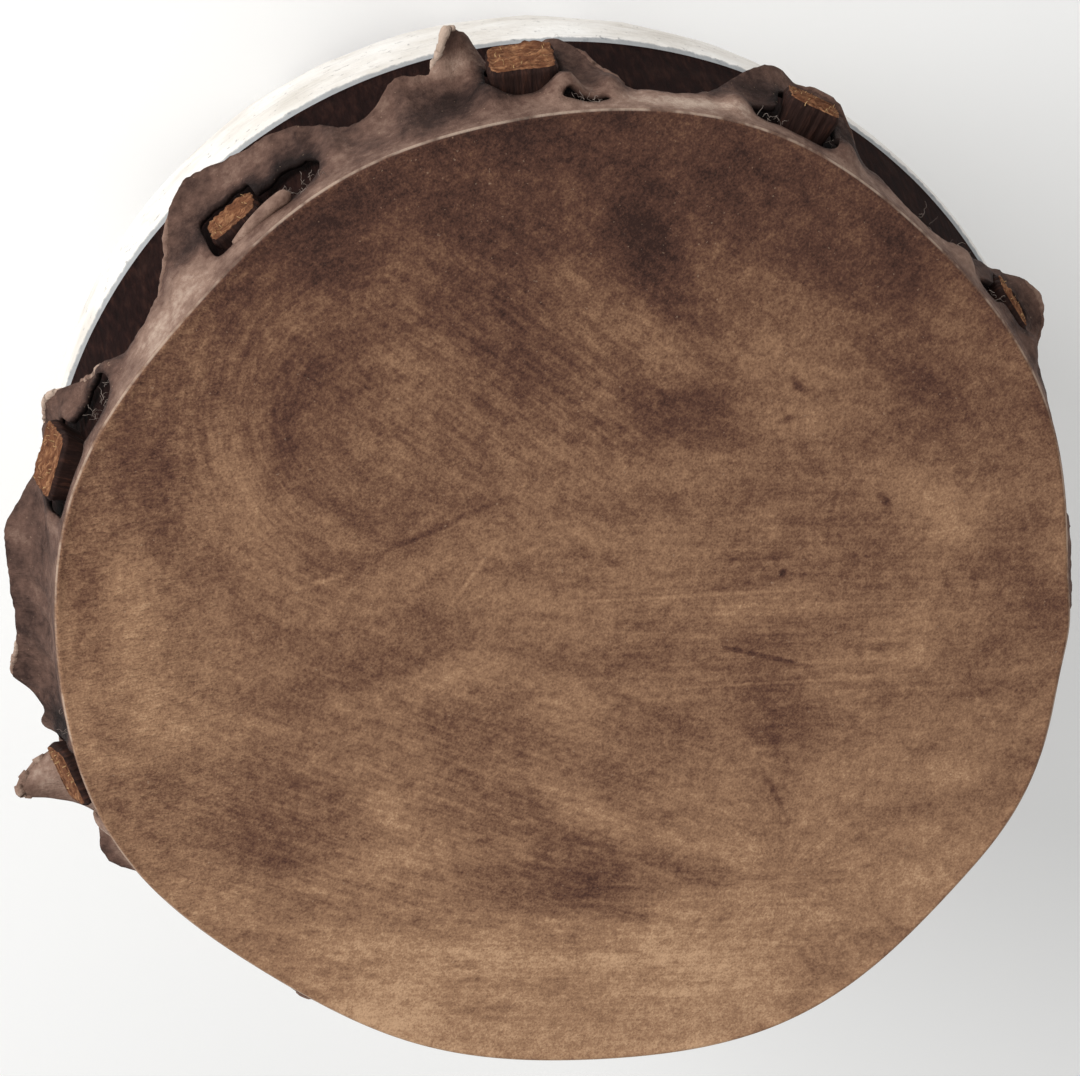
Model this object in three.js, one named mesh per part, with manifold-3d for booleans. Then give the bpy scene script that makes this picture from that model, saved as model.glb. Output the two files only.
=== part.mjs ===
// A pegged ritual drum: a hollow log shell that stands on its foot, a rawhide head turned down over the
// rim, and the split pegs that hold it. Millimetres, +Z up, origin on the floor on the drum's axis.
import * as THREE from "three";
import { mergeVertices } from "three/addons/utils/BufferGeometryUtils.js";
import Module from "manifold-3d";

const wasm = await Module();
wasm.setup();

// Overall sizes
const DRUM_HEIGHT = 380;
const HEAD_RADIUS = 180;
const TOUCH_GAP = 0.3;
const SAME_POINT = 1e-4;

// Shell: a flared neck, a step out to the belly, a bowl that draws in, and a low foot ring
const SHELL_WALL = 18;
const RIM_ROUNDING = 1.7;
const NECK_HEIGHT = 78;
const NECK_FLARE = 10.5;
const BELLY_STEP = 2.4;
const STEP_ROUNDING = 3;
const BELLY_RADIUS = 195;
const BELLY_DROP = 48;
const BOWL_FULLNESS = 40;
const BOWL_END_RADIUS = 150;
const BOWL_END_HEIGHT = 32;
const BOWL_END_RISE = 70;
const BOWL_END_LEAN = 14;
const FOOT_STEP = 5;
const FOOT_HEIGHT = 24;
const FOOT_WALL = 28;
const FOOT_CHAMFER = 3;
const CURVE_STEPS = 6;
const SHELL_SIDES = 56;

// The rim was cut by eye: lobes round the edge, their height in mm and the turn of the first crest
const RIM_WAVES = [
  { lobes: 3, height: 3.2, turn: -53 },
  { lobes: 4, height: 0.7, turn: 14 },
  { lobes: 8, height: 1.3, turn: -19 },
];

// Head: rawhide pulled over the rim, lying on the neck and then curling away from it
const HIDE_THICKNESS = 2.2;
const CURL_ABOVE_PEGS = 9;
const SKIRT_PAST_CURL = 3.5;
const SKIRT_BELOW_PEG = 10;
const PEG_PULL = 5.5;
const MOST_CURL = 105;
const CURL_EASE = 1.3;
const BEND_STEPS = 3;
const CURL_STEPS = 4;
const HIDE_SIDES = 120;

// Pegs: split blocks driven through the hide into the neck
const PEG_DEPTH = 28;
const WOOD_BEHIND_PEG = 5;
const PEG_TIP_SHARE = 0.7;
const PEG_CHAMFER = 3;
const PEG_SLANT = 4;
const FIRST_PEG_TURN = 1;
const HOLE_REACH = 45;

// One entry for each peg, counter-clockwise from +X: degrees off even spacing, width, height and how far
// it stands out. Each pucker beside it has its degrees from the peg, the spare length that it takes up,
// the curl of its edge in degrees and its half width in degrees.
const PEGS = [
  { off: 0, width: 24, height: 18, out: 1, puckers: [[7, 8, 20, 4], [-8, 10, 26, 4]] },
  { off: -0.2, width: 20, height: 16, out: 4, puckers: [[5, 8, 30, 3], [-4, 15, 58, 4]] },
  { off: -1.8, width: 21, height: 18, out: 8, puckers: [[5.5, 10, 38, 3.4], [-3.5, 10, 44, 3]] },
  { off: -4.3, width: 25, height: 19, out: 12, puckers: [[7, 19, 72, 2.6], [12, 14, 50, 3], [-6, 6, 26, 3]] },
  { off: -2.9, width: 22, height: 15, out: 2, puckers: [[4, 15, 56, 4.5], [-10, 18, 46, 5.5]] },
  { off: -2.6, width: 26, height: 20, out: 8, puckers: [[11, 18, 42, 5], [21, 23, 50, 6], [-5, 12, 36, 4]] },
  { off: 1.2, width: 25, height: 18, out: 10, puckers: [[5, 36, 88, 2.8], [14, 22, 54, 3.4]] },
  { off: 1.2, width: 23, height: 18, out: 4, puckers: [[9, 18, 50, 5], [-7, 12, 40, 3.5]] },
  { off: -1, width: 25, height: 19, out: 6.5, puckers: [[8, 24, 56, 3.8], [-7, 14, 40, 3.4]] },
  { off: 0.8, width: 22, height: 17, out: 9, puckers: [[6, 14, 40, 5], [-9, 16, 42, 4]] },
  { off: 0.4, width: 24, height: 19, out: 5.5, puckers: [[9, 14, 34, 4.4], [-6, 12, 38, 3.4]] },
];

const hideCover = HIDE_THICKNESS + TOUCH_GAP;
const rimBend = RIM_ROUNDING + hideCover;
const bendRadius = HEAD_RADIUS - rimBend;
const neckTop = DRUM_HEIGHT - rimBend;
const neckTopRadius = HEAD_RADIUS - hideCover;
const shellTop = DRUM_HEIGHT - hideCover;
const crestHeight = DRUM_HEIGHT - NECK_HEIGHT;
const crestRadius = HEAD_RADIUS + NECK_FLARE;
const bellyHeight = crestHeight - BELLY_DROP;
const footRadius = BOWL_END_RADIUS + FOOT_STEP;
const pegHeight = DRUM_HEIGHT - PEG_DEPTH;
const hugLength = PEG_DEPTH - rimBend - CURL_ABOVE_PEGS;

const shellWood = new THREE.MeshStandardMaterial({ color: 0x3a2a24, roughness: 0.75, metalness: 0 });
const rawhide = new THREE.MeshStandardMaterial({ color: 0x7a6350, roughness: 0.7, metalness: 0 });
const pegWood = new THREE.MeshStandardMaterial({ color: 0x6b3f28, roughness: 0.85, metalness: 0 });

const radians = (degrees) => THREE.MathUtils.degToRad(degrees);
const bell = (x) => Math.exp((-x * x) / 2);

// Signed turn from one angle to another, between -180 and 180 degrees.
function turnBetween(from, to) {
  return THREE.MathUtils.euclideanModulo(to - from + 180, 360) - 180;
}

// How far the rim stands out of round at a turn.
function rimWave(turn) {
  const waves = RIM_WAVES.map((w) => w.height * Math.cos(radians(w.lobes * (turn - w.turn))));
  return waves.reduce((sum, wave) => sum + wave, 0);
}

// The share of the rim's wave that is left at a height: all of it at the rim, none at the crest.
function waveShare(z) {
  return THREE.MathUtils.clamp((z - crestHeight) / (neckTop - crestHeight), 0, 1);
}

// Radius of the neck's outside at a turn and a height.
function neckRadius(turn, z) {
  const round = THREE.MathUtils.mapLinear(z, neckTop, crestHeight, neckTopRadius, crestRadius);
  return round + rimWave(turn) * waveShare(z);
}

// Moves every vertex of a turned form: place(radius, height, turn) gives its new radius and height.
function reshape(geometry, place) {
  const position = geometry.getAttribute("position");
  const point = new THREE.Vector3();
  for (let i = 0; i < position.count; i++) {
    point.fromBufferAttribute(position, i);
    const turn = Math.atan2(point.y, point.x);
    const [r, z] = place(Math.hypot(point.x, point.y), point.z, THREE.MathUtils.radToDeg(turn));
    position.setXYZ(i, r * Math.cos(turn), r * Math.sin(turn), z);
  }
  return geometry;
}

// A closed solid from a geometry: shared corners merged, triangles without area left out.
function solidOf(geometry) {
  geometry.deleteAttribute("normal");
  geometry.deleteAttribute("uv");
  const merged = mergeVertices(geometry, SAME_POINT);
  const corners = merged.getIndex().array;
  const triangles = [];
  for (let i = 0; i < corners.length; i += 3) {
    const [a, b, c] = corners.subarray(i, i + 3);
    if (a !== b && b !== c && c !== a) {
      triangles.push(a, b, c);
    }
  }
  return new wasm.Manifold(new wasm.Mesh({
    numProp: 3,
    vertProperties: new Float32Array(merged.getAttribute("position").array),
    triVerts: new Uint32Array(triangles),
  }));
}

// The shell's section, up the outside from the foot, over the rim and down the hollow.
function shellProfile() {
  const lipCorner = RIM_ROUNDING * Math.SQRT1_2;
  const outline = new THREE.Path();
  outline.moveTo(footRadius - FOOT_WALL, 0);
  outline.lineTo(footRadius - FOOT_CHAMFER, 0);
  outline.lineTo(footRadius, FOOT_CHAMFER);
  outline.lineTo(footRadius, FOOT_HEIGHT);
  outline.lineTo(BOWL_END_RADIUS, BOWL_END_HEIGHT);
  outline.bezierCurveTo(
    BOWL_END_RADIUS + BOWL_END_LEAN, BOWL_END_HEIGHT + BOWL_END_RISE,
    BELLY_RADIUS, bellyHeight - BOWL_FULLNESS,
    BELLY_RADIUS, bellyHeight,
  );
  outline.quadraticCurveTo(
    BELLY_RADIUS, (bellyHeight + crestHeight) / 2,
    crestRadius + BELLY_STEP, crestHeight - STEP_ROUNDING,
  );
  outline.lineTo(crestRadius, crestHeight);
  outline.lineTo(neckTopRadius, neckTop);
  outline.lineTo(bendRadius + lipCorner, neckTop + lipCorner);
  outline.lineTo(bendRadius, shellTop);
  outline.lineTo(bendRadius - SHELL_WALL, shellTop);
  outline.lineTo(BELLY_RADIUS - SHELL_WALL, bellyHeight);
  outline.bezierCurveTo(
    BELLY_RADIUS - SHELL_WALL, bellyHeight - BOWL_FULLNESS,
    BOWL_END_RADIUS + BOWL_END_LEAN - SHELL_WALL, BOWL_END_HEIGHT + BOWL_END_RISE,
    BOWL_END_RADIUS - SHELL_WALL, BOWL_END_HEIGHT,
  );
  outline.closePath();
  return outline.getPoints(CURVE_STEPS);
}

function shellSolid() {
  const turned = new THREE.LatheGeometry(shellProfile(), SHELL_SIDES).rotateX(Math.PI / 2);
  return solidOf(reshape(turned, (r, z, turn) => [r + rimWave(turn) * waveShare(z), z]));
}

// Where a peg stands, in degrees round the rim.
function pegTurn(index) {
  return FIRST_PEG_TURN + (360 * index) / PEGS.length + PEGS[index].off;
}

// Length of the hide below its bend, in mm, and the curl of its edge, in degrees, at a turn.
function skirtAt(turn) {
  let length = hugLength + SKIRT_PAST_CURL;
  let curl = 0;
  PEGS.forEach((peg, index) => {
    const away = turnBetween(pegTurn(index), turn);
    const lengthAtPeg = PEG_DEPTH - rimBend + peg.height / 2 + SKIRT_BELOW_PEG;
    length += (lengthAtPeg - hugLength - SKIRT_PAST_CURL) * bell(away / PEG_PULL);
    for (const [at, spare, bend, halfWidth] of peg.puckers) {
      length += spare * bell((away - at) / halfWidth);
      curl += bend * bell((away - at) / halfWidth);
    }
  });
  return { length, curl: Math.min(curl, MOST_CURL) };
}

// The middle of the hide's thickness at one turn, from the centre of the head to the free edge:
// radius, height and the direction that its outer face looks in, in degrees down from straight up.
function hideStations(turn) {
  const half = HIDE_THICKNESS / 2;
  const wave = rimWave(turn);
  const stations = [{ r: 0, z: DRUM_HEIGHT - half, facing: 0 }];
  for (let i = 0; i < BEND_STEPS; i++) {
    const facing = (90 * i) / BEND_STEPS;
    const r = bendRadius + wave + (rimBend - half) * Math.sin(radians(facing));
    const z = neckTop + (rimBend - half) * Math.cos(radians(facing));
    stations.push({ r, z, facing });
  }
  const flare = Math.atan2(crestRadius - neckTopRadius - wave, neckTop - crestHeight);
  const lean = THREE.MathUtils.radToDeg(flare);
  let r = neckTopRadius + wave + TOUCH_GAP + half;
  let z = neckTop;
  stations.push({ r, z, facing: 90 - lean });
  r += hugLength * Math.sin(flare);
  z -= hugLength * Math.cos(flare);
  stations.push({ r, z, facing: 90 - lean });
  const { length, curl } = skirtAt(turn);
  const step = (length - hugLength) / CURL_STEPS;
  for (let i = 1; i <= CURL_STEPS; i++) {
    const swing = flare + radians(curl * ((i - 0.5) / CURL_STEPS) ** CURL_EASE);
    r += step * Math.sin(swing);
    z -= step * Math.cos(swing);
    stations.push({ r, z, facing: 90 - lean - curl * (i / CURL_STEPS) ** CURL_EASE });
  }
  return stations;
}

// The head starts as a flat round blank with its rings one apart. Each ring then goes to its station.
function hideSolid() {
  const last = hideStations(0).length - 1;
  const blank = [];
  for (let ring = 0; ring <= last; ring++) {
    blank.push(new THREE.Vector2(ring, -1));
  }
  for (let ring = last; ring >= 0; ring--) {
    blank.push(new THREE.Vector2(ring, 1));
  }
  const turned = new THREE.LatheGeometry(blank, HIDE_SIDES).rotateX(Math.PI / 2);
  return solidOf(reshape(turned, (ring, face, turn) => {
    const station = hideStations(turn)[Math.round(ring)];
    const offset = face * HIDE_THICKNESS / 2;
    const outward = offset * Math.sin(radians(station.facing));
    const upward = offset * Math.cos(radians(station.facing));
    return [station.r + outward, station.z + upward];
  }));
}

// A split block's cut end, with its corners knocked off.
function pegShape(width, height) {
  const w = width / 2;
  const h = height / 2;
  const c = PEG_CHAMFER;
  const shape = new THREE.Shape();
  shape.moveTo(w - c, -h);
  shape.lineTo(w, c - h);
  shape.lineTo(w, h - c);
  shape.lineTo(w - c, h);
  shape.lineTo(c - w, h);
  shape.lineTo(-w, h - c);
  shape.lineTo(-w, c - h);
  shape.lineTo(c - w, -h);
  return shape;
}

// A peg in its place, wider by a clearance all round and longer by a reach: it narrows to the tip in the
// wood, and its outer end is chopped off on a slant.
function pegSolid(index, clearance, reach) {
  const peg = PEGS[index];
  const neck = neckRadius(pegTurn(index), pegHeight);
  const tip = neck - (SHELL_WALL - WOOD_BEHIND_PEG);
  const end = neck + hideCover + peg.out;
  const block = new THREE.ExtrudeGeometry(pegShape(peg.width, peg.height), {
    depth: 1,
    bevelEnabled: false,
  });
  const position = block.getAttribute("position");
  for (let i = 0; i < position.count; i++) {
    const across = position.getX(i);
    const up = position.getY(i);
    const outer = position.getZ(i) > 0.5;
    const along = outer ? end + reach : tip - clearance;
    const share = THREE.MathUtils.mapLinear(along, tip, end, PEG_TIP_SHARE, 1);
    position.setXYZ(
      i,
      outer ? along - (PEG_SLANT * up) / peg.height : along,
      across * share + clearance * Math.sign(across),
      up * share + clearance * Math.sign(up),
    );
  }
  return solidOf(block).rotate([0, 0, pegTurn(index)]).translate([0, 0, pegHeight]);
}

function meshOf(name, solid, material) {
  const { vertProperties, triVerts } = solid.getMesh();
  const geometry = new THREE.BufferGeometry();
  geometry.setAttribute("position", new THREE.BufferAttribute(vertProperties, 3));
  geometry.setIndex(new THREE.BufferAttribute(triVerts, 1));
  geometry.computeVertexNormals();
  const mesh = new THREE.Mesh(geometry, material);
  mesh.name = name;
  return mesh;
}

// The holes run out past every pucker, so that a peg's path is clear from outside.
const pegHoles = wasm.Manifold.union(PEGS.map((_, index) => pegSolid(index, TOUCH_GAP, HOLE_REACH)));

const drum = new THREE.Group();
drum.add(meshOf("shell", shellSolid().subtract(pegHoles), shellWood));
drum.add(meshOf("head_hide", hideSolid().subtract(pegHoles), rawhide));
PEGS.forEach((_, index) => {
  drum.add(meshOf("peg_" + String(index + 1).padStart(2, "0"), pegSolid(index, 0, 0), pegWood));
});

export default drum;
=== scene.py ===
import math
import random

import bpy
import numpy as np
from mathutils import Matrix, Vector, noise


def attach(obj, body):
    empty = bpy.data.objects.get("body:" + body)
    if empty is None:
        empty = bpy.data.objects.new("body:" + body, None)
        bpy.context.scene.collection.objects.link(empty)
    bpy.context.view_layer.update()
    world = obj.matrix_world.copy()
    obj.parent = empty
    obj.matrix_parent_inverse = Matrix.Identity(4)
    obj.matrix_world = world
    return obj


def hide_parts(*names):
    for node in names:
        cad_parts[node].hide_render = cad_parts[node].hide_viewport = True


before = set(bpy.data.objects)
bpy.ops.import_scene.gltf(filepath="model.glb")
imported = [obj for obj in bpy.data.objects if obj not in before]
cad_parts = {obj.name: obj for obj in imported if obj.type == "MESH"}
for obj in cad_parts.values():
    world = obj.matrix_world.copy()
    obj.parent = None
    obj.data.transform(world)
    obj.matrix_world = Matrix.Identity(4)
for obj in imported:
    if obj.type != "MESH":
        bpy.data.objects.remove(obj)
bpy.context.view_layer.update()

# The shell is one log, hollowed with an adze from both ends and left standing on a low foot ring. Its neck
# is stained dark under the hide, and the belly below it is washed with pale clay. All sizes are in mm.
SHELL_TOP = 377.5
SHELL_WALL = 18
RIM_ROUNDING = 1.7
NECK_TOP = 375.8
NECK_TOP_RADIUS = 177.5
BEND_RADIUS = 175.8
CREST_HEIGHT = 302
CREST_RADIUS = 190.5
BELLY_STEP = 2.4
STEP_ROUNDING = 3
BELLY_RADIUS = 195
BELLY_HEIGHT = 254
BOWL_FULLNESS = 40
BOWL_END_RADIUS = 150
BOWL_END_HEIGHT = 32
BOWL_END_RISE = 70
BOWL_END_LEAN = 14
FOOT_RADIUS = 152
FOOT_HEIGHT = 24
FOOT_WALL = 28
FOOT_CHAMFER = 3
SHELL_COLUMNS = 330
LOG_OVAL = 4.2
LOG_LONG_TURN = 168
ADZE_ON_NECK = (15, 26, 0.35)
ADZE_ON_BELLY = (44, 15, 0.7)
ADZE_ON_BOWL = (26, 34, 1.0)
ADZE_IN_HOLLOW = (30, 46, 1.3)
DRYING_CRACKS = [(252, 60, 288, 2.2, 7), (318, 96, 262, 1.8, 6), (37, 40, 190, 1.8, 5)]
RIM_WAVES = [(3, 3.2, -53), (4, 0.7, 14), (8, 1.3, -19)]
RIM_CORNERS = [(-3, 1.4, 3.2), (-11, -0.6, 4), (-28, 1.7, 7), (92, 0.8, 7)]


def bell(x):
    return np.exp(-np.square(x) / 2)


def turn_between(start, end):
    return (np.asarray(end) - start + 180) % 360 - 180


def rim_wave(turn):
    """How far the rim stands out of round at a turn, in degrees."""
    waves = sum(height * np.cos(np.radians(lobes * (turn - start))) for lobes, height, start in RIM_WAVES)
    return waves + sum(height * bell(turn_between(at, turn) / width) for at, height, width in RIM_CORNERS)


def noise_at(x, y, z):
    return noise.noise(Vector((x, y, z)))


def round_axis(radius, turn, height):
    """The place at that radius and turn, in radians, round the drum's axis."""
    return radius * math.cos(turn), radius * math.sin(turn), height


def straight(start, end, steps):
    share = np.linspace(0, 1, steps, endpoint=False)[:, None]
    return np.array(start) + (np.array(end) - np.array(start)) * share


def curved(a, b, c, d, steps):
    """Points along a Bezier curve, without its last one."""
    a, b, c, d = (np.array(p, float) for p in (a, b, c, d))
    t = np.linspace(0, 1, steps, endpoint=False)[:, None]
    return a * (1 - t) ** 3 + 3 * b * t * (1 - t) ** 2 + 3 * c * t * t * (1 - t) + d * t ** 3


def shell_profile():
    """Radius, height and region of each ring: up the outside from the foot, and down the hollow."""
    lip = RIM_ROUNDING * math.sqrt(0.5)
    step_radius = CREST_RADIUS + BELLY_STEP
    middle = (BELLY_HEIGHT + CREST_HEIGHT) / 2
    wall = SHELL_WALL
    regions = [
        ("foot", straight((FOOT_RADIUS - FOOT_WALL, 0), (FOOT_RADIUS - FOOT_CHAMFER, 0), 7)),
        ("foot", straight((FOOT_RADIUS - FOOT_CHAMFER, 0), (FOOT_RADIUS, FOOT_CHAMFER), 3)),
        ("bowl", straight((FOOT_RADIUS, FOOT_CHAMFER), (FOOT_RADIUS, FOOT_HEIGHT), 8)),
        ("bowl", straight((FOOT_RADIUS, FOOT_HEIGHT), (BOWL_END_RADIUS, BOWL_END_HEIGHT), 4)),
        ("bowl", curved((BOWL_END_RADIUS, BOWL_END_HEIGHT),
                        (BOWL_END_RADIUS + BOWL_END_LEAN, BOWL_END_HEIGHT + BOWL_END_RISE),
                        (BELLY_RADIUS, BELLY_HEIGHT - BOWL_FULLNESS), (BELLY_RADIUS, BELLY_HEIGHT), 66)),
        ("belly", curved((BELLY_RADIUS, BELLY_HEIGHT), (BELLY_RADIUS, BELLY_HEIGHT + 16),
                         (BELLY_RADIUS - 0.5, middle + 8), (step_radius, CREST_HEIGHT - STEP_ROUNDING), 26)),
        ("belly", straight((step_radius, CREST_HEIGHT - STEP_ROUNDING), (CREST_RADIUS, CREST_HEIGHT), 3)),
        ("neck", straight((CREST_RADIUS, CREST_HEIGHT), (NECK_TOP_RADIUS, NECK_TOP), 36)),
        ("neck", straight((NECK_TOP_RADIUS, NECK_TOP), (BEND_RADIUS + lip, NECK_TOP + lip), 2)),
        ("neck", straight((BEND_RADIUS + lip, NECK_TOP + lip), (BEND_RADIUS, SHELL_TOP), 2)),
        ("hollow", straight((BEND_RADIUS, SHELL_TOP), (BEND_RADIUS - wall, SHELL_TOP), 5)),
        ("hollow", straight((BEND_RADIUS - wall, SHELL_TOP), (BELLY_RADIUS - wall, BELLY_HEIGHT), 22)),
        ("hollow", curved((BELLY_RADIUS - wall, BELLY_HEIGHT),
                          (BELLY_RADIUS - wall, BELLY_HEIGHT - BOWL_FULLNESS),
                          (BOWL_END_RADIUS + BOWL_END_LEAN - wall, BOWL_END_HEIGHT + BOWL_END_RISE),
                          (BOWL_END_RADIUS - wall, BOWL_END_HEIGHT), 34)),
        ("hollow", straight((BOWL_END_RADIUS - wall, BOWL_END_HEIGHT), (FOOT_RADIUS - FOOT_WALL, 0), 6)),
    ]
    return [(r, z, name) for name, points in regions for r, z in points]


def adze_depth(radius, height, turn, marks):
    """Depth of the shallow scallops that an adze leaves, each deepest at its middle."""
    width, length, deep = marks
    around = radius / width
    spot = Vector(round_axis(around, turn, height / length))
    away = noise.voronoi(spot)[0][0]
    uneven = 0.5 + 0.5 * noise.noise(spot * 0.7)
    return deep * (1 - min(away, 0.9) ** 2 / 0.81) * (0.5 + uneven)


def crack_depth(height, turn):
    """Depth of the drying cracks, which follow the grain up the log and taper to both ends."""
    depth = 0
    for at, low, high, width, deep in DRYING_CRACKS:
        along = (height - low) / (high - low)
        if 0 < along < 1:
            wander = 1.2 * noise_at(height / 30, at, 0)
            off = float(turn_between(at + wander, math.degrees(turn))) * math.pi / 180 * BELLY_RADIUS
            taper = math.sin(math.pi * along) ** 0.6
            depth += deep * taper * math.exp(-((off / (width * taper)) ** 2))
    return depth


def shell_point(radius, height, name, turn):
    """A point of the carved log: the even form, less what the adze and the cracks take away."""
    wave = float(rim_wave(math.degrees(turn)))
    radius += wave * min(max((height - CREST_HEIGHT) / (NECK_TOP - CREST_HEIGHT), 0), 1)
    oval = LOG_OVAL * (1 - math.cos(2 * (turn - math.radians(LOG_LONG_TURN)))) / 2
    if name == "neck":
        ease = min((NECK_TOP + 1 - height) / 8, (height - CREST_HEIGHT) / 4 + 0.2, 1)
        radius -= max(ease, 0) * adze_depth(radius, height, turn, ADZE_ON_NECK)
    elif name == "hollow":
        ease = min(max((SHELL_TOP - height) / 20, 0), height / 20, 1)
        radius += ease * (adze_depth(radius, height, turn, ADZE_IN_HOLLOW) - 0.4)
    else:
        below = min(max((CREST_HEIGHT - height) / (CREST_HEIGHT - BELLY_HEIGHT), 0), 1)
        ease = min((CREST_HEIGHT - height) / 8 + 0.15, height / 6, 1)
        marks = ADZE_ON_BELLY if name == "belly" else ADZE_ON_BOWL
        radius -= below * oval + ease * adze_depth(radius, height, turn, marks)
        radius -= crack_depth(height, turn)
    return round_axis(radius, turn, height)


def closed_grid(rows, columns, wrap_rows):
    """The quads of a form that closes round the axis, with its rows going up the outside."""
    i, j = np.meshgrid(np.arange(rows if wrap_rows else rows - 1), np.arange(columns), indexing="ij")
    up = (i + 1) % rows
    on = (j + 1) % columns
    corners = [i * columns + j, i * columns + on, up * columns + on, up * columns + j]
    return np.stack(corners, axis=-1).reshape(-1, 4)


def new_piece(name, points, faces, finishes, finish_of=None, flat=()):
    """A mesh object from points in mm. finish_of gives each face's material, and flat names flat ones."""
    mesh = bpy.data.meshes.new(name)
    mesh.from_pydata((np.asarray(points, float) * 0.001).tolist(), [], [list(f) for f in faces])
    for finish in finishes:
        mesh.materials.append(finish)
    finish_of = np.zeros(len(faces), int) if finish_of is None else np.asarray(finish_of, int)
    mesh.polygons.foreach_set("material_index", finish_of.astype(np.int32))
    mesh.polygons.foreach_set("use_smooth", ~np.isin(finish_of, list(flat)))
    mesh.validate()
    piece = bpy.data.objects.new(name, mesh)
    bpy.context.scene.collection.objects.link(piece)
    return piece


def tone(red, green, blue):
    """A colour as the eye reads it, 0 to 255, as the linear colour that a shader takes."""
    shares = [c / 255 for c in (red, green, blue)]
    return [c / 12.92 if c <= 0.04045 else ((c + 0.055) / 1.055) ** 2.4 for c in shares] + [1]


class Finish:
    """A material whose colour, roughness and relief are worked out in mm over the piece."""

    def __init__(self, name, gloss=0.5):
        self.material = bpy.data.materials.new(name)
        self.material.use_nodes = True
        self.tree = self.material.node_tree
        self.shader = self.tree.nodes["Principled BSDF"]
        self.shader.inputs["Specular IOR Level"].default_value = gloss
        place = self.add("ShaderNodeTexCoord").outputs["Object"]
        in_mm = self.add("ShaderNodeVectorMath", {0: place, "Scale": 1000}, operation="SCALE")
        self.place = in_mm.outputs[0]

    def add(self, kind, inputs=None, **settings):
        node = self.tree.nodes.new(kind)
        for key, value in settings.items():
            setattr(node, key, value)
        for key, value in (inputs or {}).items():
            if isinstance(value, bpy.types.NodeSocket):
                self.tree.links.new(value, node.inputs[key])
            else:
                node.inputs[key].default_value = value
        return node

    def axis(self, which, place=None):
        parts = self.add("ShaderNodeSeparateXYZ", {0: place or self.place})
        return parts.outputs[which]

    def maths(self, operation, first, second=0.0, clamp=False):
        node = self.add("ShaderNodeMath", {0: first, 1: second}, operation=operation, use_clamp=clamp)
        return node.outputs[0]

    def turned(self, x=0, y=0, turn=0, size=(1, 1, 1)):
        """The place seen from a spot, turned, and measured in lengths of that size."""
        settings = {"Vector": self.place, "Location": (x, y, 0), "Scale": size}
        settings["Rotation"] = (0, 0, math.radians(turn))
        return self.add("ShaderNodeMapping", settings, vector_type="TEXTURE").outputs[0]

    def grain(self, size, detail=4, rough=0.55, place=None, bend=0.0):
        """Soft noise with features of about that size in mm, as a value around 0.5."""
        inputs = {"Vector": place or self.place, "Scale": 1 / size, "Detail": detail}
        inputs.update({"Roughness": rough, "Distortion": bend})
        return self.add("ShaderNodeTexNoise", inputs).outputs["Fac"]

    def between(self, value, low, high, start=0.0, end=1.0):
        """A smooth step from start to end as the value goes from low to high."""
        inputs = {"Value": value, "From Min": low, "From Max": high, "To Min": start, "To Max": end}
        return self.add("ShaderNodeMapRange", inputs, interpolation_type="SMOOTHSTEP").outputs[0]

    def varied(self, value, grain, strength):
        """The value, lifted and lowered by a grain."""
        change = self.maths("MULTIPLY", self.maths("SUBTRACT", grain, 0.5), strength)
        return self.maths("ADD", value, change)

    def spot(self, x, y, length, width, turn, soft=0.55):
        """One inside an oval that lies at a turn on the head, and nought outside it."""
        place = self.turned(x, y, turn, (length, width, 10000))
        far = self.add("ShaderNodeVectorMath", {0: place}, operation="LENGTH").outputs["Value"]
        return self.between(far, 1 - soft, 1 + soft, 1, 0)

    def blend(self, share, first, second, kind="MIX"):
        node = self.add("ShaderNodeMix", {0: share, 6: first, 7: second}, data_type="RGBA", blend_type=kind)
        return node.outputs[2]

    def ramp(self, value, stops):
        """The tone at each value, from stops that give a value and a tone's red, green and blue."""
        node = self.add("ShaderNodeValToRGB", {0: value})
        points = node.color_ramp.elements
        while len(points) < len(stops):
            points.new(0.5)
        for point, (at, *colour) in zip(points, stops):
            point.position = at
            point.color = tone(*colour)
        return node.outputs[0]

    def relief(self, height, depth, below=None):
        """A bump of that depth in mm, on top of another one."""
        inputs = {"Height": height, "Strength": 1.0, "Distance": depth * 0.001}
        if below is not None:
            inputs["Normal"] = below
        return self.add("ShaderNodeBump", inputs).outputs[0]

    def done(self, colour, rough, normal):
        for name, value in (("Base Color", colour), ("Roughness", rough), ("Normal", normal)):
            self.tree.links.new(value, self.shader.inputs[name])
        return self.material


def neck_finish():
    """Wood stained by smoke and handling, with the log's upright grain just showing."""
    wood = Finish("stained_neck", gloss=0.02)
    grain = wood.grain(1, 5, 0.6, wood.turned(size=(2.2, 2.2, 38)))
    dust = wood.grain(26, 5, 0.65)
    colour = wood.ramp(grain, [(0.3, 20, 11, 10), (0.52, 32, 19, 17), (0.75, 50, 32, 27)])
    colour = wood.blend(wood.between(dust, 0.54, 0.78, 0, 0.3), colour, tone(58, 41, 35))
    rough = wood.between(grain, 0.2, 0.8, 0.86, 0.96)
    normal = wood.relief(grain, 0.7)
    return wood.done(colour, rough, normal)


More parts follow.
